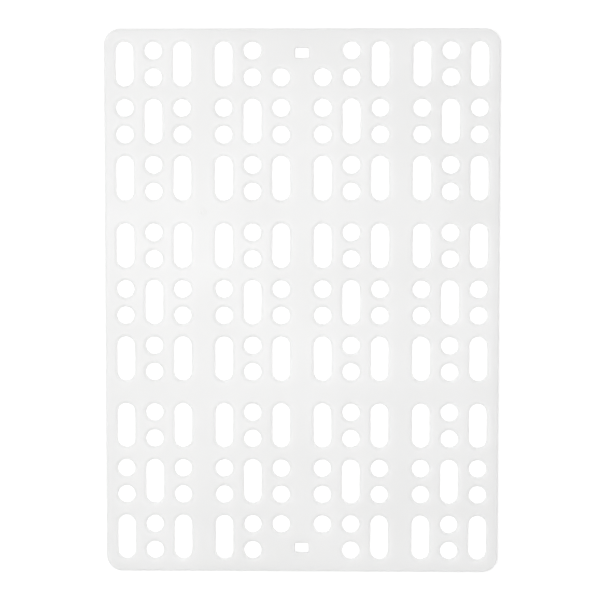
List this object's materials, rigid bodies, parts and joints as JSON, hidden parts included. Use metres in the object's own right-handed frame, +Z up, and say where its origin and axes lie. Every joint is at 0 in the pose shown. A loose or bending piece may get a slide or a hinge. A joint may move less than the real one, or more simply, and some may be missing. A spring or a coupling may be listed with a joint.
{
  "type": "queen excluder",
  "caption": "Flat rectangular queen excluder plate with rounded corners, pierced by modules of bee-width slots and round holes, with a small locating hole at each end.",
  "frame": {"origin": "centre of the plate's underside", "axes": "+X across the plate's short side, +Y along its long side, +Z up through its thickness"},
  "size_m": [0.1, 0.138, 0.002],
  "materials": {
    "natural_plastic": "satin, milky and slightly translucent"
  },
  "bodies": {
    "root": {"excluder_plate": "natural_plastic"}
  },
  "joints": []
}
